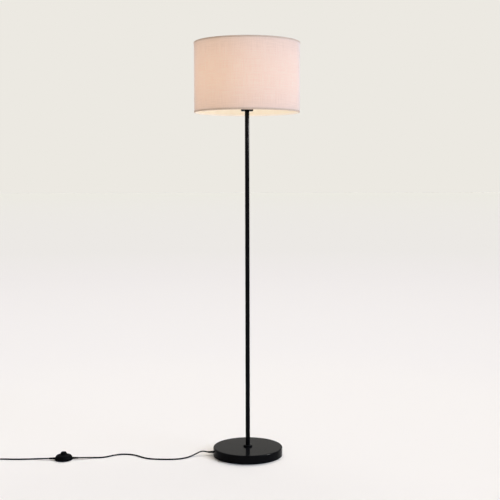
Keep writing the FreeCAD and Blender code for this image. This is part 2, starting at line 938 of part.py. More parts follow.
def hem(edge, way):
    """A strip folded round the rim in flats at height edge; way is +1 at the lower rim, -1 at the upper."""
    half = hem_width / 2
    middle = shade_radius - half
    round_z = edge + way * half
    leg_end = edge + way * hem_height
    inner = half - hem_thickness
    turns = [-180.0 * way * i / hem_flats for i in range(hem_flats + 1)]
    outside = [at_bend(middle, round_z, half, turn) for turn in turns]
    inside = [at_bend(middle, round_z, inner, turn) for turn in reversed(turns)]
    inner_leg = [(middle - half, leg_end), (middle - inner, leg_end)]
    return turned((shade_radius, leg_end), outside + inner_leg + inside + [(middle + inner, leg_end)])


def make_shade():
    fabric_outer = shade_radius - hem_thickness - layer_gap
    fabric_inner = fabric_outer - fabric_thickness
    liner_outer = fabric_inner - layer_gap
    low = shade_bottom + fabric_edge
    high = overall_height - fabric_edge
    wire_radius_at = shade_radius - hem_width / 2 - wire_inset
    wire_lift = hem_width / 2 - wire_inset
    wires = []
    for height in (shade_bottom + wire_lift, overall_height - wire_lift):
        wires.append(Part.makeTorus(wire_radius_at, frame_wire_radius, vector(0, 0, height)))

    fitter_low = pole_top + cup_height
    ring = pipe(fitter_outer_radius, fitter_inner_radius, fitter_low, fitter_low + fitter_thickness)
    arm_high = fitter_low - arm_radius - touch_gap
    arm_low = shade_bottom + wire_lift
    arm_start = shade_radius - hem_width - slip_gap
    points = [
        vector(arm_start, 0, arm_low),
        vector(arm_start - arm_level_run, 0, arm_low),
        vector(fitter_outer_radius + arm_straight, 0, arm_high),
        vector(fitter_outer_radius - arm_under_fitter, 0, arm_high),
    ]
    arm = swept(rounded_path(points, {1: arm_bend, 2: arm_bend})[0], arm_radius)
    return {
        "shade_fabric": pipe(fabric_outer, fabric_inner, low, high),
        "shade_liner": pipe(liner_outer, liner_outer - liner_thickness, low, high),
        "shade_bottom_wire": wires[0],
        "shade_top_wire": wires[1],
        "shade_bottom_hem": hem(shade_bottom, 1),
        "shade_top_hem": hem(overall_height, -1),
        "fitter_ring": ring,
        "spider_arms": Part.makeCompound(around(arm, arm_count, arm_first_azimuth)),
    }


# --- foot switch ---

def placed_switch(solid):
    solid = solid.copy()
    solid.rotate(vector(0, 0, 0), vector(0, 0, 1), switch_azimuth)
    solid.translate(vector(switch_x, switch_y, 0))
    return solid


def switch_spot(side, beyond=0.0):
    """A point on the cord's line past a strain relief of the foot switch, side +1 towards the lamp."""
    reach = switch_radius + switch_relief_length + beyond
    way = polar(1, switch_azimuth, 0)
    return vector(switch_x, switch_y, switch_entry_height) + way * (side * reach)


def make_switch_cover(inside):
    """A low dome with a flared collar round the button, and three screw posts inside."""
    hole = button_radius + slip_gap
    shoulder = switch_radius - switch_shoulder_inset
    bulge_height = switch_side_height + 6.4
    ceiling = button_flange_top + collar_stop_gap
    flare = (switch_collar_radius + 1.2, switch_slope_height + 1.8)
    cover = turned(
        (switch_radius, skirt_lift),
        [
            (switch_radius, switch_side_height),
            ((switch_radius - 1.5, bulge_height), (shoulder, switch_shoulder_height)),
            (switch_slope_radius, switch_slope_height),
            (flare, (switch_collar_radius, switch_collar_top)),
            (hole, switch_collar_top),
            (hole, ceiling),
            (switch_slope_radius - 0.5, ceiling),
            (shoulder - 0.8, switch_shoulder_height - switch_roof),
            ((inside - 1.3, bulge_height - 1.0), (inside, switch_side_height)),
            (inside, skirt_lift),
        ],
    )
    across = switch_radius + over
    entry_start = vector(-across, 0, switch_entry_height)
    entry = bar(switch_relief_neck + slip_gap, entry_start, vector(1, 0, 0), 2 * across)
    cover = cover.cut(entry.cut(rod(inside - switch_wall, 0, button_top)))
    plate_high = switch_pad_thickness + switch_plate_thickness
    post = rod(post_radius, plate_high, post_top, post_circle)
    bore_radius = switch_screw_radius + press_gap
    bore = rod(bore_radius, plate_high - over, plate_high + post_bore_depth, post_circle)
    cover = cover.fuse(around_switch(post)).removeSplitter()
    return cover.cut(Part.makeCompound(around_switch(bore)))


def around_switch(solid):
    return around(solid, switch_screw_count, switch_screw_first_azimuth)


def make_switch_base(inside, low, high):
    plate = rod(inside - slip_gap, low, high)
    seat_high = low + switch_head_lift + switch_head_height
    head_seat = rod(switch_head_radius + slip_gap, low - over, seat_high, post_circle)
    through = rod(switch_screw_radius + slip_gap, low - over, high + over, post_circle)
    plate = plate.cut(Part.makeCompound(around_switch(head_seat)))
    plate = plate.cut(Part.makeCompound(around_switch(through)))
    half = notch_width / 2
    notch = block(inside - notch_depth, inside + over, -half, half, low - over, high + over)
    return plate.cut(Part.makeCompound(around(notch, 2)))


def make_switch_screw(low, high):
    head_low = low + switch_head_lift
    head_high = head_low + switch_head_height
    head = rod(switch_head_radius, head_low, head_high, post_circle)
    cross = block(post_circle - 2, post_circle + 2, -0.3, 0.3, low - over, head_low + 0.6)
    shank = rod(switch_screw_radius, head_high, high + switch_screw_reach, post_circle)
    return head.cut(cross).fuse(shank)


def make_button():
    """A domed cap with a flange that stops it under the collar, and a stem down to the mechanism."""
    skirt = button_radius - button_wall
    roof = button_top - button_roof
    flange_low = button_flange_top - button_flange_thickness
    stem_low = mechanism_top + stem_gap
    return turned(
        (0, button_top),
        [
            (button_radius - 4.0, button_top - 0.3),
            ((button_radius - 1.4, button_top - 1.0), (button_radius - 0.5, button_top - 2.6)),
            (button_radius, switch_collar_top),
            (button_radius, button_flange_top),
            (button_flange_radius, button_flange_top),
            (button_flange_radius, flange_low),
            (skirt, flange_low),
            (skirt, roof),
            (stem_radius, roof),
            (stem_radius, stem_low),
            (0, stem_low),
        ],
    )


def make_spring():
    """The return spring round the stem, from the mechanism up to the button's roof."""
    low = mechanism_top + spring_wire_radius + press_gap
    high = button_top - button_roof - spring_wire_radius - 0.2
    rise = (high - low) / spring_turns
    edges = wound_edges(lambda turn: polar(spring_radius, 360 * turn, low + rise * turn), spring_turns)
    return swept(edges, spring_wire_radius)


def make_terminals(floor):
    """At each end a brass block with a grub screw, and a strip from it to the mechanism."""
    start = post_circle - terminal_length
    middle = start + terminal_length / 2
    grub_x = middle - 0.05
    half = terminal_width / 2
    wire_hole = bar(1.2, vector(start - over, 0, floor + 2.0), vector(1, 0, 0), terminal_length + 2 * over)
    brass = block(start, post_circle, -half, half, floor, floor + terminal_height).cut(wire_hole)
    brass = brass.cut(rod(grub_radius, floor + 2.5, floor + terminal_height + over, grub_x))
    grub = rod(grub_radius - press_gap, floor + 3.4, floor + terminal_height + 0.8, grub_x)
    half_strip = strip_width / 2
    strip = block(mechanism_length / 2, start, -half_strip, half_strip, floor, floor + strip_thickness)
    return around(brass, 2) + around(grub, 2), around(strip, 2)


def make_switch():
    inside = switch_radius - switch_wall
    low = switch_pad_thickness
    high = low + switch_plate_thickness
    half_length = mechanism_length / 2
    half_width = mechanism_width / 2
    well = rod(stem_radius + stem_gap, mechanism_top - button_travel - 0.7, mechanism_top + over)
    mechanism = block(-half_length, half_length, -half_width, half_width, high, mechanism_top).cut(well)
    terminals, strips = make_terminals(high)
    along = vector(1, 0, 0)
    relief = relief_along(
        vector(inside, 0, switch_entry_height), along, switch_wall, switch_relief_neck, switch_relief_root,
        switch_relief_length, (switch_relief_flange, switch_relief_flange_thickness), switch_wall_lean,
    )
    tail_length = switch_radius + switch_relief_length - tail_from
    tail = bar(cord_radius, vector(tail_from, 0, switch_entry_height), along, tail_length)
    nodes = {
        "switch_cover": make_switch_cover(inside),
        "switch_base": make_switch_base(inside, low, high),
        "switch_screws": Part.makeCompound(around_switch(make_switch_screw(low, high))),
        "switch_pad": pipe(switch_pad_outer, switch_pad_inner, 0, switch_pad_thickness),
        "switch_button": make_button(),
        "switch_spring": make_spring(),
        "switch_mechanism": mechanism,
        "switch_terminals": Part.makeCompound(terminals),
        "switch_contacts": Part.makeCompound(strips),
        "switch_strain_reliefs": Part.makeCompound(around(relief, 2)),
        "switch_cord_tails": Part.makeCompound(around(tail, 2)),
    }
    return {name: placed_switch(solid) for name, solid in nodes.items()}


# --- free cord, coil and plug ---

def coil_point(turn):
    """The coil's line: in along the lower layer, up in the middle half turn, out along the upper layer."""
    inward = min(turn, coil_turns - turn)
    radius = coil_outer_radius - coil_pitch * inward
    climb = min(1.0, max(0.0, (turn - coil_layer_turns) / coil_climb + 0.5))
    height = cord_height + coil_pitch * climb
    spot = polar(radius, 90.0 + 360.0 * turn, height)
    return spot + vector(coil_x, coil_y, 0)


def coil_edges():
    """Quarter turns as biarcs, with level headings at both ends of the coil."""
    count = round(coil_turns * 4)
    stations = [coil_turns * i / count for i in range(count + 1)]
    headings = []
    for turn in stations:
        heading = polar(1, 180.0 + 360.0 * turn, 0)
        if abs(turn - coil_layer_turns) < coil_climb / 2:
            inner_turn = 2 * math.pi * (coil_outer_radius - coil_pitch * coil_layer_turns)
            rise = coil_pitch / (coil_climb * inner_turn)
            heading = heading + vector(0, 0, rise)
            heading.normalize()
        headings.append(heading)
    start = coil_point(0)
    end = coil_point(coil_turns)
    edges = [Part.LineSegment(start - headings[0] * cord_diameter, start).toShape()]
    for i in range(count):
        edges += biarc(coil_point(stations[i]), headings[i], coil_point(stations[i + 1]), headings[i + 1])
    edges.append(Part.LineSegment(end, end + headings[-1] * coil_end_run).toShape())
    return edges


def make_cord():
    lamp_end = polar(base_radius + relief_length, exit_azimuth, exit_height)
    first = [lamp_end] + [vector(*p) for p in route_to_switch]
    first += [switch_spot(1, switch_relief_run), switch_spot(1)]
    second = [switch_spot(-1), switch_spot(-1, switch_relief_run)] + [vector(*p) for p in route_to_coil]
    coil_start = coil_point(0) + vector(cord_diameter, 0, 0)
    second += [coil_start + vector(coil_entry_run, 0, 0), coil_start]
    nodes = {}
    for name, points in (("cord_base_to_switch", first), ("cord_switch_to_coil", second)):
        edges, radii = rounded_path(points)
        nodes[name] = swept(edges, cord_radius)
        report_cord(name, edges, radii, nodes[name])
    edges = coil_edges()
    nodes["cord_coil"] = swept(edges, cord_radius)
    report_cord("cord_coil", edges, [], nodes["cord_coil"])
    print("   least gap of the coil to itself %.2f mm" % least_self_gap(edges, cord_diameter))
    return nodes


def make_plug_body(end, face, half_thickness):
    """A flat body that narrows to its cord, lying on the floor."""
    half = plug_width / 2
    tail = plug_tail_width / 2
    waist = half - plug_waist_inset
    bend_y = plug_face_straight + plug_shoulder_length * 4 / 3
    shoulder_y = plug_face_straight + plug_shoulder_length * 2
    flare = tail + plug_tail_flare
    body = outline(
        (-half, 0),
        [
            (half, 0),
            (half, plug_face_straight),
            ((waist, bend_y), (flare, shoulder_y)),
            (tail, plug_length),
            (-tail, plug_length),
            (-flare, shoulder_y),
            ((-waist, bend_y), (-half, plug_face_straight)),
        ],
        lambda x, y: vector(end.x + x, face + y, end.z - half_thickness),
    ).extrude(vector(0, 0, 2 * half_thickness))
    rims = [e for e in body.Edges if e.BoundBox.ZLength < 1e-6 and e.BoundBox.YMax > face + 1e-3]
    return body.makeFillet(plug_edge_round, rims)


def make_plug():
    """A flat two-pin plug beside the coil, pins towards -Y."""
    end = coil_point(coil_turns) + vector(0, -coil_end_run, 0)
    ahead = vector(0, -1, 0)
    rear = end.y - plug_relief_length
    face = rear - plug_length
    body = make_plug_body(end, face, end.z - floor_gap)
    cord_hole = bar(cord_bore, vector(end.x, rear + over, end.z), ahead, plug_cord_depth + 4 + over)
    body = body.cut(cord_hole)
    pins = []
    sleeves = []
    sleeved = pin_root + pin_sleeve_length
    for side in (-1, 1):
        x = end.x + side * pin_spacing / 2
        root = vector(x, face + pin_root, end.z)
        body = body.cut(bar(pin_sleeve_radius + press_gap, root, ahead, pin_root + over))
        neck = bar(pin_neck_radius, root, ahead, sleeved)
        blade = bar(pin_radius, root + ahead * sleeved, ahead, pin_length - pin_sleeve_length)
        tip_edges = [e for e in blade.Edges if abs(e.BoundBox.YMax - (face - pin_length)) < 1e-3]
        pins.append(neck.fuse(blade.makeChamfer(pin_chamfer, tip_edges)))
        sleeves.append(bar(pin_sleeve_radius, root, ahead, sleeved).cut(neck))
    relief = turned(
        (cord_bore, 0),
        [
            (relief_tip_radius - relief_tip_wall / 2, 0),
            (relief_tip_radius, relief_tip_wall),
            (plug_relief_root, plug_relief_length),
            (cord_bore, plug_relief_length),
        ],
    )
    relief.Placement = FreeCAD.Placement(end, FreeCAD.Rotation(vector(0, 0, 1), ahead))
    return {
        "plug_body": body,
        "plug_pins": Part.makeCompound(pins),
        "plug_pin_sleeves": Part.makeCompound(sleeves),
        "plug_strain_relief": relief,
        "plug_cord_tail": bar(cord_radius, end, ahead, plug_relief_length + plug_cord_depth),
    }


def main():
    os.makedirs("parts", exist_ok=True)
    nodes = {}
    nodes.update(make_base())
    nodes.update(make_pole())
    nodes["inner_cable"] = make_inner_cable()
    nodes.update(make_lampholder())
    nodes.update(make_bulb())
    nodes.update(make_shade())
    nodes.update(make_switch())
    nodes.update(make_cord())
    nodes.update(make_plug())
    for name, shape in nodes.items():
        if not shape.isValid():
            raise ValueError(name + " is not a valid shape")
        shape.exportStep("parts/" + name + ".step")
    print(len(nodes), "nodes")


main()
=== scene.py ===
import json
import math

import bpy
import bmesh
from mathutils import Matrix, Vector, noise

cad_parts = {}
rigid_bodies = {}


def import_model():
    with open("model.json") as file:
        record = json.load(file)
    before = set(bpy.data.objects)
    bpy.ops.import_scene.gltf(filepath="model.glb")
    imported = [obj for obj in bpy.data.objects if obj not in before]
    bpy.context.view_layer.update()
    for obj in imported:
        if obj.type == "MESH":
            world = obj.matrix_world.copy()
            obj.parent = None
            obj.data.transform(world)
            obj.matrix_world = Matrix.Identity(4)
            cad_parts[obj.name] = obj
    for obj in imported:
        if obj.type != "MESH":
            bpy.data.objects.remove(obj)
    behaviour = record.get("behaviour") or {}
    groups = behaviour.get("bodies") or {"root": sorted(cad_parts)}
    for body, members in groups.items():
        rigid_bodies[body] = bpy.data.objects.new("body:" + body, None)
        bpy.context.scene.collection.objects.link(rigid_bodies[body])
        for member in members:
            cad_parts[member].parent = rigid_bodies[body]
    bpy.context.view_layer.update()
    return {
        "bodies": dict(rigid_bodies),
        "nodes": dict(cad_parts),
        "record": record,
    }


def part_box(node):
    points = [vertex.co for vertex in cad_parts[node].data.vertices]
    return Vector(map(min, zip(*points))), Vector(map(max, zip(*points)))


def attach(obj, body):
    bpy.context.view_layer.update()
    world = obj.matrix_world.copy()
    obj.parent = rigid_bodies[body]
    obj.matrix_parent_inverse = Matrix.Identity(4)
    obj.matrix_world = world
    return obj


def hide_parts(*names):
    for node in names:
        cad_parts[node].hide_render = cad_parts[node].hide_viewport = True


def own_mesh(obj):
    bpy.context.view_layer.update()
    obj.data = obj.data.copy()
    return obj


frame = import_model()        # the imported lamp, in metres, standing on z = 0
nodes = frame["nodes"]
scene = bpy.context.scene
print("frame loaded:", len(nodes), "nodes")


# Lengths are in metres, unless a note says otherwise.
# The camera stands in front of the lamp and looks along +Y, a little downwards.
cameraLook = {
    "place": (0.0101, -3.5182, 1.0203),
    "pitch": 85.713,        # degrees up from straight down
    "roll": 0.12,           # degrees
    "lens": 70.0,           # mm
    "sensor": 36.0,         # mm
    "farthest": 200.0,      # past the far edge of the floor
}


def setCamera(look):
    data = bpy.data.cameras.new("frontCamera")
    data.lens = look["lens"]
    data.sensor_width = look["sensor"]
    data.clip_end = look["farthest"]
    camera = bpy.data.objects.new("frontCamera", data)
    camera.location = look["place"]
    camera.rotation_euler = (math.radians(look["pitch"]), math.radians(look["roll"]), 0.0)
    scene.collection.objects.link(camera)
    scene.camera = camera


setCamera(cameraLook)
print("camera set")


# The mains cord: a round two-core flex, out of the base, through the foot switch and into its coil.
cordLook = {
    "diameter": 0.005,
    "segmentSteps": 10,     # along the spline, between two of its points
    "roundness": 6,
    "toSwitch": [
        (-0.1469, -0.0059, 0.0120),     # out of the base's strain relief
        (-0.1575, -0.0062, 0.0150), (-0.1730, -0.0064, 0.0150), (-0.1880, -0.0120, 0.0085),
        (-0.2000, -0.0210, 0.0048), (-0.2130, -0.0355, 0.0028), (-0.2330, -0.0540, 0.0026),
        (-0.2660, -0.0665, 0.0026),
        (-0.3220, -0.0660, 0.0026), (-0.3630, -0.0565, 0.0026), (-0.3880, -0.0370, 0.0026),
        (-0.4110, -0.0120, 0.0026), (-0.4420, 0.0005, 0.0026), (-0.4720, -0.0005, 0.0026),
        (-0.4980, -0.0170, 0.0026), (-0.5250, -0.0410, 0.0026), (-0.5680, -0.0430, 0.0028),
        (-0.5967, -0.0551, 0.0060), (-0.6147, -0.0565, 0.0060),     # into the foot switch
    ],
    "toCoil": [
        (-0.7193, -0.0645, 0.0060), (-0.7373, -0.0659, 0.0060),     # out of the foot switch
        (-0.7640, -0.0565, 0.0029), (-0.8050, -0.0605, 0.0026), (-0.8500, -0.0610, 0.0026),
        (-0.8850, -0.0584, 0.0026), (-0.9120, -0.0590, 0.0026), (-0.9350, -0.0590, 0.0026),
    ],
}
coilLook = {
    "centre": (-0.9400, -0.0962),
    "outerRadius": 0.0372,
    "pitch": 0.0055,        # from one turn to the next, beside it or on it
    "turns": 5.25,
    "climbTurns": 0.5,      # the stretch that rises to the upper layer
    "lowHeight": 0.0026,
    "stepsPerTurn": 16,
    "endRun": 0.0100,       # straight, into the plug's strain relief
}


def coilPoints(look):
    # In along the lower layer and out along the upper one. A quadratic spline passes inside its points, so
    # they stand a little further out.
    swell = 1 / (0.75 + 0.25 * math.cos(2 * math.pi / look["stepsPerTurn"]))
    count = round(look["turns"] * look["stepsPerTurn"])
    points = []
    for step in range(count + 1):
        turn = look["turns"] * step / count
        radius = look["outerRadius"] - look["pitch"] * min(turn, look["turns"] - turn)
        if step < count:
            radius *= swell
        climb = (turn - look["turns"] / 2) / look["climbTurns"] + 0.5
        height = look["lowHeight"] + look["pitch"] * min(1.0, max(0.0, climb))
        azimuth = math.pi / 2 + 2 * math.pi * turn
        x = look["centre"][0] + radius * math.cos(azimuth)
        y = look["centre"][1] + radius * math.sin(azimuth)
        points.append((x, y, height))
    x, y, height = points[-1]
    points.append((x, y - look["endRun"], height))
    return points


def layCord(name, route, replaced):
    curve = bpy.data.curves.new(name, "CURVE")
    curve.dimensions = "3D"
    spline = curve.splines.new("NURBS")
    spline.points.add(len(route) - 1)
    for point, place in zip(spline.points, route):
        point.co = (*place, 1.0)
        point.radius = cordLook["diameter"] / 2     # times the bevel depth of 1, so that the box fits
    spline.order_u = 3      # quadratic
    spline.use_endpoint_u = True
    spline.resolution_u = cordLook["segmentSteps"]
    curve.bevel_depth = 1.0
    curve.bevel_resolution = cordLook["roundness"]
    curve.use_fill_caps = True
    cord = bpy.data.objects.new(name, curve)
    scene.collection.objects.link(cord)
    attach(cord, "lamp")
    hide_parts(*replaced)
    return cord


lampCord = layCord("cord_lamp_to_switch", cordLook["toSwitch"], ["cord_base_to_switch"])
plugCord = layCord("cord_switch_to_plug", cordLook["toCoil"] + coilPoints(coilLook),
                   ["cord_switch_to_coil", "cord_coil"])
print("cords laid")


sharpEdge = 35.0        # degrees; a flatter edge is shaded round


def loftPiece(name, sections, body, replaced):
    # rings of points, one after another; the two end faces join the first half of a ring to the second
    count = len(sections[0])
    points = [point for section in sections for point in section]
    faces = []
    for i in range(len(sections) - 1):
        for j in range(count):
            k = (j + 1) % count
            faces.append((i * count + j, i * count + k, (i + 1) * count + k, (i + 1) * count + j))
    for first in (0, (len(sections) - 1) * count):
        for j in range(count // 2 - 1):
            faces.append((first + j, first + j + 1, first + count - 2 - j, first + count - 1 - j))
    return meshPiece(name, points, faces, body, replaced)


def meshPiece(name, points, faces, body, replaced):
    mesh = bpy.data.meshes.new(name)
    mesh.from_pydata(points, [], faces)
    shape = bmesh.new()
    shape.from_mesh(mesh)
    bmesh.ops.recalc_face_normals(shape, faces=shape.faces)
    shape.to_mesh(mesh)
    shape.free()
    for polygon in mesh.polygons:
        polygon.use_smooth = True
    mesh.set_sharp_from_angle(angle=math.radians(sharpEdge))
    piece = bpy.data.objects.new(name, mesh)
    scene.collection.objects.link(piece)
    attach(piece, body)
    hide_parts(*replaced)
    return piece


def easeIn(share):
    share = min(1.0, max(0.0, share))
    return share * share * (3 - 2 * share)


# The drum: linen glued on a translucent white film, each one strip with a lap at the back.
drumLook = {
    "seamAzimuth": math.pi / 2,     # at the back, away from the camera
    "fabricThick": 0.00055,
    "fabricLap": 0.012,
    "filmThick": 0.00045,
    "filmLap": 0.015,
    "lapRamp": 0.004,       # how soon the upper layer comes down beside the lap
    "waver": 0.0004,        # how far the drum is out of round
    "waves": 2.2,           # lumps to a radius, or to the drum's height
    "rimHold": 0.7,         # the rim wires hold it round; below 1, it is free again close to them
    "columns": 300,
    "rows": 24,
}
tapeLook = {
    "thick": 0.00035,
    "halfFold": 0.0027,     # half the distance from the outer leg to the inner one
    "lap": 0.010,
    "lapOffset": -0.12,     # radians from the fabric's seam
    "foldSteps": 12,
    "columns": 480,
    "edgeWander": 0.00030,  # how unevenly the tape's edge was turned
    "wanderRate": 0.4,      # how often, against the puckers
    "wanderSeed": (7.0, 2.5),
    "pucker": 0.00009,
    "puckerPitch": 0.009,
    "puckerSeed": (3.0, 0.5),
}


def waver(azimuth, share):
    # share is 0 at the lower rim and 1 at the upper one
    spot = Vector((math.cos(azimuth), math.sin(azimuth), share)) * drumLook["waves"]
    return drumLook["waver"] * noise.noise(spot) * math.sin(math.pi * share) ** drumLook["rimHold"]


def lapLift(turned, radius, thickness):
    # how far a strip stands off where it comes round to its own start and lies on it
    ramp = drumLook["lapRamp"] / radius
    return thickness * easeIn((turned - (2 * math.pi - ramp)) / ramp)


def wrapStrip(name, node, lap, thickness, side):
    # side is 1 where the lap stands off outwards and -1 where it does inwards
    low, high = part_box(node)
    outer = high.x
    steps = drumLook["columns"]
    rows = drumLook["rows"]
    span = 2 * math.pi + lap / outer
    sections = []
    for i in range(steps + 1):
        turned = span * i / steps
        azimuth = drumLook["seamAzimuth"] + turned
        lift = side * lapLift(turned, outer, thickness)
        outside = []
        inside = []
        for j in range(rows + 1):
            share = j / rows
            z = low.z + (high.z - low.z) * share
            radius = outer + lift + waver(azimuth, share)
            around = Vector((math.cos(azimuth), math.sin(azimuth), 0))
            outside.append(around * radius + Vector((0, 0, z)))
            inside.append(around * (radius - thickness) + Vector((0, 0, z)))
        sections.append(outside + inside[::-1])
    return loftPiece(name, sections, "shade", [node])


def foldTape(name, node, way):
    # A narrow strip turned round the rim wire: outer leg, fold, inner leg. way is 1 at the lower rim, where
    # the legs stand up from the fold, and -1 at the upper one.
    low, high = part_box(node)
    rim = low.z if way > 0 else high.z
    outer = high.x
    height = high.z - low.z
    half = tapeLook["halfFold"]
    middle = outer - half
    span = 2 * math.pi + tapeLook["lap"] / outer
    fabricLap = drumLook["fabricLap"]
    puckerRow, puckerStart = tapeLook["puckerSeed"]
    wanderRow, wanderStart = tapeLook["wanderSeed"]
    sections = []
    for i in range(tapeLook["columns"] + 1):
        turned = span * i / tapeLook["columns"]
        azimuth = drumLook["seamAzimuth"] + tapeLook["lapOffset"] + turned
        fromSeam = (azimuth - drumLook["seamAzimuth"]) % (2 * math.pi)
        lift = lapLift(turned, outer, tapeLook["thick"])
        overLap = 1 - abs(fromSeam * outer - fabricLap / 2) / fabricLap
        lift += drumLook["fabricThick"] * easeIn(overLap)       # where the fabric's lap lies under it
        along = azimuth * outer / tapeLook["puckerPitch"]
        puckerSpot = Vector((along, puckerRow * way, puckerStart))
        wanderSpot = Vector((along * tapeLook["wanderRate"], wanderRow * way, wanderStart))
        drawn = tapeLook["pucker"] * noise.noise(puckerSpot)
        wander = tapeLook["edgeWander"] * noise.noise(wanderSpot)
        outline = []
        for depth in (0.0, tapeLook["thick"]):
            reach = half - depth
            path = [(middle + reach + lift + drawn, height + wander)]
            for k in range(tapeLook["foldSteps"] + 1):
                angle = -math.pi * k / tapeLook["foldSteps"]
                swing = (lift + drawn) * (1 - k / tapeLook["foldSteps"])
                path.append((middle + (reach + swing) * math.cos(angle), half + reach * math.sin(angle)))
            path.append((middle - reach, height - wander))
            outline.append(path)
        ring = outline[0] + outline[1][::-1]
        around = (math.cos(azimuth), math.sin(azimuth))
        sections.append([(r * around[0], r * around[1], rim + way * up) for r, up in ring])
    return loftPiece(name, sections, "shade", [node])


linenDrum = wrapStrip("linen_drum", "shade_fabric", drumLook["fabricLap"], drumLook["fabricThick"], 1)
filmDrum = wrapStrip("film_drum", "shade_liner", drumLook["filmLap"], drumLook["filmThick"], -1)
lowerTape = foldTape("lower_rim_tape", "shade_bottom_hem", 1)
upperTape = foldTape("upper_rim_tape", "shade_top_hem", -1)
print("shade made")


# Soft foam pads under the base and the foot switch, die-cut from sheet.
padLook = {
    "edge": 0.0003,         # how round the cut edge is
    "edgeSteps": 2,
    "rimSteps": 160,
    "holeSteps": 40,
    "screwHole": 0.0039,    # radius, over each of the base's three screws
    "screwCircle": 0.095,   # radius
    "screws": 3,
    "switchHole": 0.012,    # radius
}


def punchPad(name, node, outer, holes, centre, body):
    low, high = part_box(node)
    curve = bpy.data.curves.new(name, "CURVE")
    curve.dimensions = "2D"
    curve.fill_mode = "BOTH"
    edge = padLook["edge"]
    curve.extrude = (high.z - low.z) / 2 - edge
    curve.bevel_depth = edge
    curve.bevel_resolution = padLook["edgeSteps"]
    rims = [(outer - edge, 0.0, 0.0, padLook["rimSteps"])]
    rims += [(radius + edge, x, y, padLook["holeSteps"]) for radius, x, y in holes]
    for radius, x, y, steps in rims:
        spline = curve.splines.new("POLY")
        spline.points.add(steps - 1)
        for i, point in enumerate(spline.points):
            angle = 2 * math.pi * i / steps
            point.co = (x + radius * math.cos(angle), y + radius * math.sin(angle), 0.0, 1.0)
        spline.use_cyclic_u = True
    shape = bpy.data.objects.new(name + "_outline", curve)
    scene.collection.objects.link(shape)
    mesh = bpy.data.meshes.new_from_object(shape.evaluated_get(bpy.context.evaluated_depsgraph_get()))
    bpy.data.objects.remove(shape)
    mesh.transform(Matrix.Translation((centre[0], centre[1], (low.z + high.z) / 2)))
    pad = bpy.data.objects.new(name, mesh)
    scene.collection.objects.link(pad)
    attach(pad, body)
    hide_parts(node)
    return pad


def makePads(look):
    low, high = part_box("base_pad")
    holes = []
    for i in range(look["screws"]):
        angle = 2 * math.pi * i / look["screws"]
        x = look["screwCircle"] * math.cos(angle)
        y = look["screwCircle"] * math.sin(angle)
        holes.append((look["screwHole"], x, y))
    basePad = punchPad("base_pad_foam", "base_pad", high.x, holes, (0.0, 0.0), "lamp")
    low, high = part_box("switch_pad")
    outer = (high.x - low.x) / 2
    hole = (look["switchHole"], 0.0, 0.0)
    switchPad = punchPad("switch_pad_foam", "switch_pad", outer, [hole], (low + high) / 2, "lamp")
    return basePad, switchPad


basePad, switchPad = makePads(padLook)
print("pads made")


# The return spring under the foot switch's button, which gives way as the button goes down.
springLook = {
    "wire": 0.0010,
    "turns": 4.5,
    "stepsPerTurn": 36,
    "wireSides": 12,
    "travel": 0.0035,       # of the button
}


def windSpring(look):
    low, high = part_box("switch_spring")
    middle = (low + high) / 2
    half = look["wire"] / 2
    radius = (high.x - low.x) / 2 - half
    rise = high.z - low.z - look["wire"]
    steps = round(look["turns"] * look["stepsPerTurn"])
    sections = []
    for i in range(steps + 1):
        azimuth = 2 * math.pi * look["turns"] * i / steps
        out = Vector((math.cos(azimuth), math.sin(azimuth), 0.0))
        heart = Vector((middle.x, middle.y, low.z + half + rise * i / steps)) + out * radius
        ring = []
        for k in range(look["wireSides"]):
            side = 2 * math.pi * k / look["wireSides"]
            ring.append(heart + half * (out * math.cos(side) + Vector((0.0, 0.0, math.sin(side)))))
        sections.append(ring)
    spring = loftPiece("switch_return_spring", sections, "lamp", ["switch_spring"])
    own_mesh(spring)
    return spring


returnSpring = windSpring(springLook)
print("spring wound")


def toLinear(code):
    # from an sRGB hex value
    parts = [int(code[i:i + 2], 16) / 255 for i in (1, 3, 5)]
    return [c / 12.92 if c <= 0.04045 else ((c + 0.055) / 1.055) ** 2.4 for c in parts] + [1.0]


def addNode(tree, kind, settings, links=()):
    # a setting goes to the node's own property of that name, or else to a socket
    node = tree.nodes.new("ShaderNode" + kind)
    for key, value in settings.items():
        if isinstance(key, str) and hasattr(node, key):
            setattr(node, key, value)
        else:
            node.inputs[key].default_value = value
    for key, source in dict(links).items():
        tree.links.new(source.outputs[0] if hasattr(source, "outputs") else source, node.inputs[key])
    return node


def startMaterial(name, colour, roughness, metallic=0.0, specular=0.5):
    material = bpy.data.materials.new(name)
    material.use_nodes = True
    tree = material.node_tree
    shader = tree.nodes["Principled BSDF"]
    shader.inputs["Base Color"].default_value = toLinear(colour)
    shader.inputs["Roughness"].default_value = roughness
    shader.inputs["Metallic"].default_value = metallic
    shader.inputs["Specular IOR Level"].default_value = specular
    return material, tree, shader


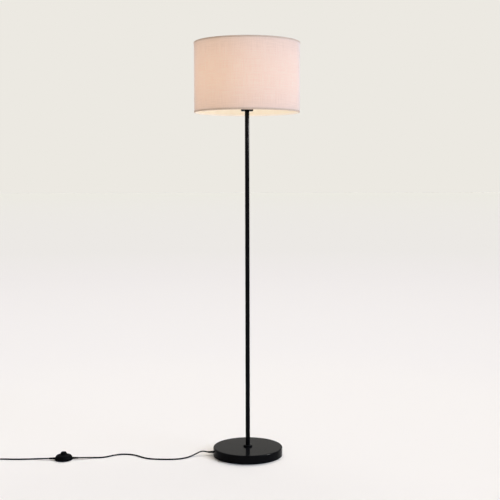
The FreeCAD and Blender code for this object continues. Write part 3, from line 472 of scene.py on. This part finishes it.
# Every hard finish: what it is, how its surface was made, and what that gives the eye.
# patch and grain are real sizes in mm, and depth is the grain's height in mm. spread is how much the
# roughness varies from patch to patch.
finishes = {
    # black polyester powder, baked: deep satin black with a faint orange peel
    "powder_coated_steel": {"name": "powder coat", "colour": "#0E0E0F", "other": "#131315", "roughness": 0.15,
                            "spread": 0.02, "specular": 0.02, "patch": 30, "grain": 1.6, "depth": 0.002},
    # grey iron as it left the sand: dull, pitted, a little brown
    "cast_iron": {"name": "sand-cast iron", "colour": "#4A4642", "other": "#2E2B29", "roughness": 0.72,
                  "spread": 0.12, "metallic": 0.7, "patch": 14, "grain": 0.9, "depth": 0.12},
    # bright zinc: bluish silver with cloudy patches from the bath
    "zinc_steel": {"name": "zinc-plated steel", "colour": "#C3C8CC", "other": "#A9AAA2", "roughness": 0.34,
                   "spread": 0.08, "metallic": 1.0, "patch": 6, "grain": 0.4, "depth": 0.006},
    # closed-cell foam: flat black full of pin holes
    "black_foam_rubber": {"name": "closed-cell foam", "colour": "#1D1D1E", "other": "#121213",
                          "roughness": 0.95, "spread": 0.04, "patch": 8, "grain": 0.7, "depth": 0.15},
    # moulded soft rubber: dull black with a dusty bloom
    "black_rubber": {"name": "moulded rubber", "colour": "#111112", "other": "#19191A", "roughness": 0.62,
                     "spread": 0.08, "specular": 0.03, "patch": 9, "grain": 0.35, "depth": 0.012},
    # extruded PVC sheath: soft sheen, slightly uneven along its length
    "black_cord": {"name": "extruded PVC sheath", "colour": "#0D0D0E", "other": "#141415", "roughness": 0.46,
                   "spread": 0.08, "specular": 0.02, "patch": 12, "grain": 0.5, "depth": 0.010},
    # glass-filled thermoplastic of the lampholder: hard black with a fine speckle
    "black_moulding": {"name": "moulded thermoplastic", "colour": "#161617", "other": "#232324",
                       "roughness": 0.42, "spread": 0.08, "patch": 5, "grain": 0.25, "depth": 0.008},
    # fired steatite: cream, chalky
    "holder_block": {"name": "fired steatite", "colour": "#E4DCCB", "other": "#D3C8B2", "roughness": 0.6,
                     "spread": 0.1, "patch": 4, "grain": 0.3, "depth": 0.015},
    # rolled brass strip: warm yellow, browner where it has tarnished
    "brass_sheet": {"name": "rolled brass", "colour": "#D9B36C", "other": "#B98E4A", "roughness": 0.3,
                    "spread": 0.08, "metallic": 1.0, "patch": 5, "grain": 0.3, "depth": 0.005},
    # white polyester powder, baked on wire: warm white with a soft grain
    "white_wire": {"name": "white powder coat", "colour": "#ECE8E1", "other": "#DDD8CE", "roughness": 0.5,
                   "spread": 0.06, "patch": 10, "grain": 0.8, "depth": 0.010},
    # white PBT: smooth and slightly glossy
    "white_moulding": {"name": "moulded white PBT", "colour": "#F0EEE9", "other": "#E6E2DA",
                       "roughness": 0.36, "spread": 0.06, "patch": 12, "grain": 0.5, "depth": 0.005},
    # nickel-plated brass cap: bright, slightly warm, a little cloudy
    "cap_metal": {"name": "nickel-plated cap", "colour": "#CFCBC2", "other": "#B3AC9D", "roughness": 0.24,
                  "spread": 0.08, "metallic": 1.0, "patch": 4, "grain": 0.3, "depth": 0.004},
    # black glass, pressed into the cap while soft: glossy, with slow ripples
    "black_glass": {"name": "pressed black glass", "colour": "#0B0B0D", "other": "#15151A", "roughness": 0.12,
                    "spread": 0.03, "patch": 3, "grain": 0.8, "depth": 0.010},
    # a drop of tin solder: dull silver, wrinkled as it set
    "solder": {"name": "tin solder", "colour": "#C9CBCD", "other": "#A7A9AC", "roughness": 0.38,
               "spread": 0.12, "metallic": 1.0, "patch": 1.5, "grain": 0.4, "depth": 0.02},
    # black ABS with a spark-eroded texture: soft black, fine grain
    "black_abs": {"name": "textured ABS", "colour": "#0C0C0D", "other": "#131314", "roughness": 0.5,
                  "spread": 0.06, "specular": 0.006, "patch": 15, "grain": 0.45, "depth": 0.02},
    # oil-hardened spring wire: blue-grey
    "spring_steel": {"name": "spring steel", "colour": "#8F9499", "other": "#6C6A66", "roughness": 0.33,
                     "spread": 0.08, "metallic": 1.0, "patch": 2, "grain": 0.2, "depth": 0.004},
    # soft black PVC of the plug: satin, with a moulded grain
    "plug_pvc": {"name": "moulded PVC", "colour": "#161617", "other": "#1F1F20", "roughness": 0.52,
                 "spread": 0.07, "specular": 0.05, "patch": 12, "grain": 0.4, "depth": 0.012},
    # nickel-plated pins: bright silver, faintly scuffed
    "plug_pin_metal": {"name": "nickel-plated pin", "colour": "#D6D3CB", "other": "#BAB5A9",
                       "roughness": 0.22, "spread": 0.06, "metallic": 1.0, "patch": 4, "grain": 0.25,
                       "depth": 0.003},
    # silicone with phosphor, poured over the chips: even mustard yellow, half matt
    "led_phosphor": {"name": "phosphor silicone", "colour": "#E8C84A", "other": "#D9B033", "roughness": 0.45,
                     "spread": 0.08, "patch": 1.2, "grain": 0.2, "depth": 0.008},
}


noiseSpan = {"From Min": 0.3, "From Max": 0.7}      # where most of a noise's values lie


def hardFinish(look):
    material, tree, shader = startMaterial(
        look["name"], look["colour"], look["roughness"], look.get("metallic", 0.0), look.get("specular", 0.5))
    place = addNode(tree, "TexCoord", {}).outputs["Object"]
    patches = addNode(tree, "TexNoise", {"Scale": 1000 / look["patch"], "Detail": 4.0}, {"Vector": place})
    spread = addNode(tree, "MapRange", noiseSpan, {"Value": patches})
    colours = addNode(tree, "Mix", {"data_type": "RGBA", 6: toLinear(look["colour"]),
                                    7: toLinear(look["other"])}, {0: spread})
    gloss = addNode(tree, "MapRange", {**noiseSpan, "To Min": look["roughness"] - look["spread"],
                                       "To Max": look["roughness"] + look["spread"]}, {"Value": patches})
    grain = addNode(tree, "TexNoise", {"Scale": 1000 / look["grain"], "Detail": 2.0}, {"Vector": place})
    bump = addNode(tree, "Bump", {"Distance": look["depth"] / 1000}, {"Height": grain})
    tree.links.new(colours.outputs[2], shader.inputs["Base Color"])
    tree.links.new(gloss.outputs[0], shader.inputs["Roughness"])
    tree.links.new(bump.outputs[0], shader.inputs["Normal"])
    return material


# Linen, plain woven and bleached, on the lit drum: flat threads with slubs that hold back the light. The
# lamplight through it is painted on, as emission.
linenLook = {
    "light": "#B4B8BF",     # threads in studio light, a little blue from the brightener
    "dark": "#ACAFB6",
    "roughness": 0.85,
    "sheen": 1.0,           # the fuzz, which also holds back the glow at a glancing angle
    "sheenTint": "#95AEC4",
    "sheenRoughness": 0.3,
    "threadPitch": 1.1,     # mm from thread to thread; about 0.6 mm on the real one, drawn coarser to show
    "threadRise": 0.25,     # how high the threads stand, against the slubs
    "slubWidth": 3.0,       # mm; real slubs are about 1 mm, drawn wider so that they show
    "slubLength": 55.0,     # mm
    "slubSpan": (0.75, 1.25),       # of both sets' noises together, from thin cloth to thick
    "uprightSeed": 3.0,
    "levelSeed": 11.0,
    "depth": 0.00018,       # of threads and slubs
    "relief": 0.6,          # how strongly that depth shows
    "radius": 0.1895,       # of the drum
    "glowThin": "#D2A57E",  # painted lamplight through the gaps
    "glowThick": "#C99E78",
    "glow": 1.0,
    "bulbHeight": 1.372,    # the middle of the glowing globe
    "fadeReach": 0.12,      # from there to where rimFade is reached
    "rimFade": 0.17,        # how much weaker the painted glow is at the rims
    "rimBand": 0.012,       # painted shade on the glow where the tape inside and the rim wire hold back more of it
    "rimShade": 0.17,
    "lap": drumLook["fabricLap"],   # behind, where the strip lies on its own start
    "lapEdge": 0.0004,      # half the width of its soft edge
    # painted shade on the glow over the lap, where the cloth lies double
    "lapShade": 0.22,
}


def clothPlace(tree, radius):
    # the drum unrolled: metres around, from the front, and metres up
    place = addNode(tree, "TexCoord", {}).outputs["Object"]
    split = addNode(tree, "SeparateXYZ", {}, {"Vector": place})
    forward = addNode(tree, "Math", {"operation": "MULTIPLY", 1: -1.0}, {0: split.outputs["Y"]})
    angle = addNode(tree, "Math", {"operation": "ARCTAN2"}, {0: split.outputs["X"], 1: forward})
    around = addNode(tree, "Math", {"operation": "MULTIPLY", 1: radius}, {0: angle})
    cloth = addNode(tree, "CombineXYZ", {}, {"X": around, "Y": split.outputs["Z"]})
    return cloth, around, split.outputs["Z"]


def slubs(tree, cloth, width, length, upright, seed):
    # noise drawn out along one set of threads, sizes in mm
    across = 1000 / width
    along = 1000 / length
    scale = (across, along, 1.0) if upright else (along, across, 1.0)
    drawn = addNode(tree, "Mapping", {"Scale": scale, "Location": (seed, 2 * seed, 0.0)}, {"Vector": cloth})
    return addNode(tree, "TexNoise", {"Scale": 1.0, "Detail": 3.0, "Roughness": 0.6}, {"Vector": drawn})


def weave(tree, around, up, pitch):
    # over and under: the product of two waves, one for each set of threads
    waves = []
    for along in (around, up):
        phase = addNode(tree, "Math", {"operation": "MULTIPLY", 1: math.pi * 1000 / pitch}, {0: along})
        waves.append(addNode(tree, "Math", {"operation": "SINE"}, {0: phase}))
    return addNode(tree, "Math", {"operation": "MULTIPLY"}, {0: waves[0], 1: waves[1]})


def wovenCloth(name, look):
    material, tree, shader = startMaterial(name, look["light"], look["roughness"], specular=0.0)
    cloth, around, up = clothPlace(tree, look["radius"])
    upright = slubs(tree, cloth, look["slubWidth"], look["slubLength"], True, look["uprightSeed"])
    level = slubs(tree, cloth, look["slubWidth"], look["slubLength"], False, look["levelSeed"])
    both = addNode(tree, "Math", {"operation": "ADD"}, {0: upright, 1: level})
    thin, full = look["slubSpan"]
    thick = addNode(tree, "MapRange", {"From Min": thin, "From Max": full}, {"Value": both})
    threads = weave(tree, around, up, look["threadPitch"])
    fine = addNode(tree, "Math", {"operation": "MULTIPLY_ADD", 1: look["threadRise"], 2: 0.5}, {0: threads})
    height = addNode(tree, "Math", {"operation": "ADD"}, {0: fine, 1: thick})
    colours = addNode(tree, "Mix", {"data_type": "RGBA", 6: toLinear(look["light"]),
                                    7: toLinear(look["dark"])}, {0: thick})
    tree.links.new(colours.outputs[2], shader.inputs["Base Color"])
    bump = addNode(tree, "Bump", {"Strength": look["relief"], "Distance": look["depth"]}, {"Height": height})
    tree.links.new(bump.outputs[0], shader.inputs["Normal"])
    shader.inputs["Sheen Weight"].default_value = look["sheen"]
    shader.inputs["Sheen Roughness"].default_value = look["sheenRoughness"]
    shader.inputs["Sheen Tint"].default_value = toLinear(look["sheenTint"])
    # The emission is painted lamplight, the bulb's light through the cloth, darker where the slubs are thick.
    glow = addNode(tree, "Mix", {"data_type": "RGBA", 6: toLinear(look["glowThin"]),
                                 7: toLinear(look["glowThick"])}, {0: thick})
    # on the tape, more painted lamplight on the leg that faces the bulb
    if "glowInside" in look:
        glow = addNode(tree, "Mix", {"data_type": "RGBA", 6: toLinear(look["glowInside"])},
                       {0: outerShare(tree, look), 7: glow.outputs[2]})
    tree.links.new(glow.outputs[2], shader.inputs["Emission Color"])
    # painted shade: the glow is weaker where the strip lies double over its lap
    lapEnd = look["lap"] - math.pi * look["radius"]
    paintedLapShade = addNode(tree, "MapRange", {"From Min": lapEnd - look["lapEdge"],
                                        "From Max": lapEnd + look["lapEdge"],
                                        "To Min": 1 - look["lapShade"]}, {"Value": around})
    fade = addNode(tree, "Math", {"operation": "MULTIPLY"}, {0: paintedLapShade, 1: glowFade(tree, up, look)})
    tree.links.new(fade.outputs[0], shader.inputs["Emission Strength"])
    return material


def outerShare(tree, look):
    # 0 on the leg that faces the bulb, 1 on the leg outside; it places the painted lamplight of the inner leg
    place = addNode(tree, "TexCoord", {}).outputs["Object"]
    flat = addNode(tree, "VectorMath", {"operation": "MULTIPLY", 1: (1.0, 1.0, 0.0)}, {0: place})
    reach = addNode(tree, "VectorMath", {"operation": "LENGTH"}, {0: flat})
    return addNode(tree, "MapRange", {"From Min": look["radius"] - look["innerLeg"],
                                      "From Max": look["radius"] - look["outerLeg"]},
                   {"Value": reach.outputs["Value"]})


def glowFade(tree, up, look):
    # the painted glow: weaker away from the bulb and again along the rims, as painted shade, by height alone
    off = addNode(tree, "Math", {"operation": "SUBTRACT", 1: look["bulbHeight"]}, {0: up})
    share = addNode(tree, "Math", {"operation": "DIVIDE", 1: look["fadeReach"]}, {0: off})
    square = addNode(tree, "Math", {"operation": "MULTIPLY"}, {0: share, 1: share})
    fade = addNode(tree, "Math", {"operation": "MULTIPLY_ADD", 1: -look["rimFade"] * look["glow"],
                                  2: look["glow"]}, {0: square})
    low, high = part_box("shade_fabric")
    reach = addNode(tree, "Math", {"operation": "SUBTRACT", 1: (low.z + high.z) / 2}, {0: up})
    reach = addNode(tree, "Math", {"operation": "ABSOLUTE"}, {0: reach})
    half = (high.z - low.z) / 2
    # painted shade on the glow along both rims
    paintedRimShade = addNode(tree, "MapRange", {"interpolation_type": "SMOOTHSTEP", "From Min": half,
                                      "From Max": half - look["rimBand"], "To Min": 1 - look["rimShade"]},
                   {"Value": reach})
    shaded = addNode(tree, "Math", {"operation": "MULTIPLY"}, {0: fade, 1: paintedRimShade})
    return shaded.outputs[0]


# The drum's inner film: white styrene, lit by the bulb, with a faint cloudiness; the bulb's light in it is
# painted on as emission. It throws back about half of the light, since it lets the rest through to the cloth.
filmLook = {
    "colour": "#C6C1B7",
    "other": "#BCB6AA",
    "roughness": 0.45,
    "specular": 0.1,
    "warm": "#FFEED2",      # painted lamplight in the film, clear and cloudy
    "warmer": "#FFE5C3",
    "glow": 0.50,
    "cloud": 25,            # mm
    "depth": 0.02,          # mm
}


def whiteFilm(look):
    material, tree, shader = startMaterial("styrene film", look["colour"], look["roughness"],
                                           specular=look["specular"])
    place = addNode(tree, "TexCoord", {}).outputs["Object"]
    clouds = addNode(tree, "TexNoise", {"Scale": 1000 / look["cloud"], "Detail": 3.0}, {"Vector": place})
    colours = addNode(tree, "Mix", {"data_type": "RGBA", 6: toLinear(look["colour"]),
                                    7: toLinear(look["other"])}, {0: clouds})
    tree.links.new(colours.outputs[2], shader.inputs["Base Color"])
    # painted lamplight in the film, as emission
    warm = addNode(tree, "Mix", {"data_type": "RGBA", 6: toLinear(look["warm"]),
                                 7: toLinear(look["warmer"])}, {0: clouds})
    tree.links.new(warm.outputs[2], shader.inputs["Emission Color"])
    shader.inputs["Emission Strength"].default_value = look["glow"]
    bump = addNode(tree, "Bump", {"Distance": look["depth"] / 1000}, {"Height": clouds})
    tree.links.new(bump.outputs[0], shader.inputs["Normal"])
    return material


# The bulb's globe: opal polycarbonate with the lamp on, brightest over the LEDs.
globeLook = {
    "colour": "#F7F1E6",
    "roughness": 0.28,
    "glowTop": "#FFEFD6",
    "glowRim": "#FFD19A",
    "strength": 1.15,
    "rimShare": 0.7,        # of that strength, at the lower rim
    "ripple": 6,            # mm
    "depth": 0.01,          # mm
}


def opalGlobe(look):
    material, tree, shader = startMaterial("opal polycarbonate", look["colour"], look["roughness"])
    place = addNode(tree, "TexCoord", {}).outputs["Object"]
    split = addNode(tree, "SeparateXYZ", {}, {"Vector": place})
    low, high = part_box("bulb_globe")
    rise = addNode(tree, "MapRange", {"From Min": low.z, "From Max": high.z}, {"Value": split.outputs["Z"]})
    glow = addNode(tree, "Mix", {"data_type": "RGBA", 6: toLinear(look["glowRim"]),
                                 7: toLinear(look["glowTop"])}, {0: rise})
    tree.links.new(glow.outputs[2], shader.inputs["Emission Color"])
    strength = addNode(tree, "MapRange", {"To Min": look["strength"] * look["rimShare"],
                                          "To Max": look["strength"]}, {"Value": rise})
    tree.links.new(strength.outputs[0], shader.inputs["Emission Strength"])
    ripple = addNode(tree, "TexNoise", {"Scale": 1000 / look["ripple"], "Detail": 2.0}, {"Vector": place})
    bump = addNode(tree, "Bump", {"Distance": look["depth"] / 1000}, {"Height": ripple})
    tree.links.new(bump.outputs[0], shader.inputs["Normal"])
    return material


# White solder mask on the bulb's boards; the copper tracks under it show as a grey grid.
boardLook = {
    "mask": "#EDEBE4",
    "thinMask": "#E4E1D8",
    "roughness": 0.4,
    "track": "#B9BBB6",
    "trackPitch": 3.5,      # mm
    "trackShare": 0.06,
    "depth": 0.03,          # mm
}


def circuitBoard(look):
    material, tree, shader = startMaterial("solder mask", look["mask"], look["roughness"])
    place = addNode(tree, "TexCoord", {}).outputs["Object"]
    tracks = addNode(tree, "TexBrick", {"Scale": 1000 / look["trackPitch"], "Mortar Size": look["trackShare"],
                                        "Color1": toLinear(look["mask"]),
                                        "Color2": toLinear(look["thinMask"]),
                                        "Mortar": toLinear(look["track"])}, {"Vector": place})
    tree.links.new(tracks.outputs["Color"], shader.inputs["Base Color"])
    bump = addNode(tree, "Bump", {"Distance": look["depth"] / 1000}, {"Height": tracks.outputs["Fac"]})
    tree.links.new(bump.outputs[0], shader.inputs["Normal"])
    return material


# The rim tape: the same linen, cut narrow and folded double, so that less light comes through. That light is
# painted on as emission, lighter on the leg that faces the bulb.
tapeCloth = dict(linenLook, light="#CBC2BA", dark="#BEB4AB", glowThin="#79583A", glowThick="#705134",
                 rimFade=0.0, rimShade=0.0, threadPitch=0.7, slubWidth=1.6, sheen=0.2,
                 glowInside="#B8AEA0",      # painted lamplight, on the leg that faces the bulb
                 innerLeg=0.0045,           # how far inside the drum's radius each leg begins
                 outerLeg=0.0008)


def dressNodes():
    materials = {slotName: hardFinish(look) for slotName, look in finishes.items()}
    materials["linen"] = wovenCloth("woven linen", linenLook)
    materials["linen_tape"] = wovenCloth("linen tape", tapeCloth)
    materials["white_film"] = whiteFilm(filmLook)
    materials["opal_diffuser"] = opalGlobe(globeLook)
    materials["circuit_board"] = circuitBoard(boardLook)
    for part in frame["record"]["subparts"]:
        for place in nodes[part["node"]].material_slots:
            place.material = materials[part["material_slot"]]
    made = {"black_cord": [lampCord, plugCord], "linen": [linenDrum], "white_film": [filmDrum],
            "linen_tape": [lowerTape, upperTape], "black_foam_rubber": [basePad, switchPad],
            "spring_steel": [returnSpring]}
    for slotName, pieces in made.items():
        for piece in pieces:
            piece.data.materials.clear()
            piece.data.materials.append(materials[slotName])


dressNodes()
print("materials set")


# A pale studio: an endless floor whose colour is painted a little darker far off, as painted shade, and a
# pale surround.
studioLook = {
    "floorReach": 60.0,     # each way
    "floorRoughness": 0.9,
    # metres from the lamp, and the colour there; the darker far tones are painted shade
    "floorTones": [(1.5, "#F8F0E7"), (2.2, "#F6EEE6"), (4.5, "#F3EBE3"), (6.6, "#F0E8E0"), (10.0, "#EDE6DC"),
                   (50.0, "#EDE7D9")],
    "surround": "#ECE9E2",
    "ambient": 0.12,        # of plain white, from all round
    "topLight": 0.83,       # share of full light on the floor
    "topFrom": (0.20, 0.55, 1.0),
    "topSpread": 60.0,      # degrees
    "keyLight": 0.54,       # cooler, from the right and a little in front
    "keyFrom": (0.89, -0.45, 0.55),
    "keySpread": 30.0,
    "keyColour": "#CBDFFF",
    "softboxPower": 400.0,  # on the key's side, seen in gloss only, and high enough to miss the pole
    "softboxPlace": (2.9, -0.83, 1.5),
    "softboxSize": 0.6,
    "bulbPower": 1.7,       # watts of light inside the shade
    "bulbColour": "#FFD9A8",
    "bulbRadius": 0.031,
}


def makeFloor(look):
    mesh = bpy.data.meshes.new("studio_floor")
    far = look["floorReach"]
    mesh.from_pydata([(-far, -far, 0), (far, -far, 0), (far, far, 0), (-far, far, 0)], [], [(0, 1, 2, 3)])
    floor = bpy.data.objects.new("studio_floor", mesh)
    scene.collection.objects.link(floor)
    material, tree, shader = startMaterial("matt floor paint", look["floorTones"][0][1],
                                           look["floorRoughness"], specular=0.0)
    place = addNode(tree, "TexCoord", {}).outputs["Object"]
    distance = addNode(tree, "VectorMath", {"operation": "LENGTH"}, {0: place})
    share = addNode(tree, "Math", {"operation": "DIVIDE", 1: look["floorTones"][-1][0]},
                    {0: distance.outputs["Value"]})
    # painted shade: the floor's colour darkens with distance from the lamp
    tones = addNode(tree, "ValToRGB", {}, {"Fac": share})
    stops = tones.color_ramp.elements
    while len(stops) < len(look["floorTones"]):
        stops.new(0.5)      # anywhere, until the next lines place it
    for stop, (reach, colour) in zip(stops, look["floorTones"]):
        stop.position = reach / look["floorTones"][-1][0]
        stop.color = toLinear(colour)
    tree.links.new(tones.outputs["Color"], shader.inputs["Base Color"])
    mesh.materials.append(material)


def makeSurround(look):
    # pale where it is seen or mirrored, and a faint plain white as a light
    world = bpy.data.worlds.new("studio")
    scene.world = world
    world.use_nodes = True
    tree = world.node_tree
    tree.nodes.clear()
    rays = addNode(tree, "LightPath", {})
    seen = addNode(tree, "Math", {"operation": "ADD"},
                   {0: rays.outputs["Is Camera Ray"], 1: rays.outputs["Is Glossy Ray"]})
    seen = addNode(tree, "Math", {"operation": "ADD", "use_clamp": True},
                   {0: seen, 1: rays.outputs["Is Transmission Ray"]})
    plain = addNode(tree, "Background", {"Strength": look["ambient"], "Color": (1.0, 1.0, 1.0, 1.0)})
    pale = addNode(tree, "Background", {"Color": toLinear(look["surround"])})
    mixed = addNode(tree, "MixShader", {}, {0: seen, 1: plain, 2: pale})
    addNode(tree, "OutputWorld", {}, {"Surface": mixed})


def addLight(name, kind, settings, aim=None):
    data = bpy.data.lights.new(name, kind)
    for key, value in settings.items():
        setattr(data, key, value)
    light = bpy.data.objects.new(name, data)
    scene.collection.objects.link(light)
    if aim:
        light.rotation_euler = Vector(aim).to_track_quat("Z", "Y").to_euler()
    return light


def lightStudio(look):
    addLight("top_light", "SUN", {"energy": math.pi * look["topLight"],
                                  "angle": math.radians(look["topSpread"])}, look["topFrom"])
    addLight("key_light", "SUN", {"energy": math.pi * look["keyLight"],
                                  "angle": math.radians(look["keySpread"]),
                                  "color": toLinear(look["keyColour"])[:3]}, look["keyFrom"])
    x, y, z = look["softboxPlace"]
    softbox = addLight("softbox", "AREA", {"energy": look["softboxPower"], "shape": "SQUARE",
                                           "size": look["softboxSize"]}, (x, y, 0.0))
    softbox.location = (x, y, z)
    softbox.visible_diffuse = False
    softbox.visible_camera = False
    bulb = addLight("bulb_light", "POINT", {"energy": look["bulbPower"],
                                            "shadow_soft_size": look["bulbRadius"],
                                            "color": toLinear(look["bulbColour"])[:3]})
    low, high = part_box("bulb_globe")
    bulb.location = (0.0, 0.0, high.z - look["bulbRadius"])
    bulb.parent = frame["bodies"]["bulb"]
    bulb.visible_camera = False
    bulb.visible_glossy = False
    bulb.visible_transmission = False


makeFloor(studioLook)
makeSurround(studioLook)
lightStudio(studioLook)
scene.view_settings.view_transform = "Standard"
print("studio set")
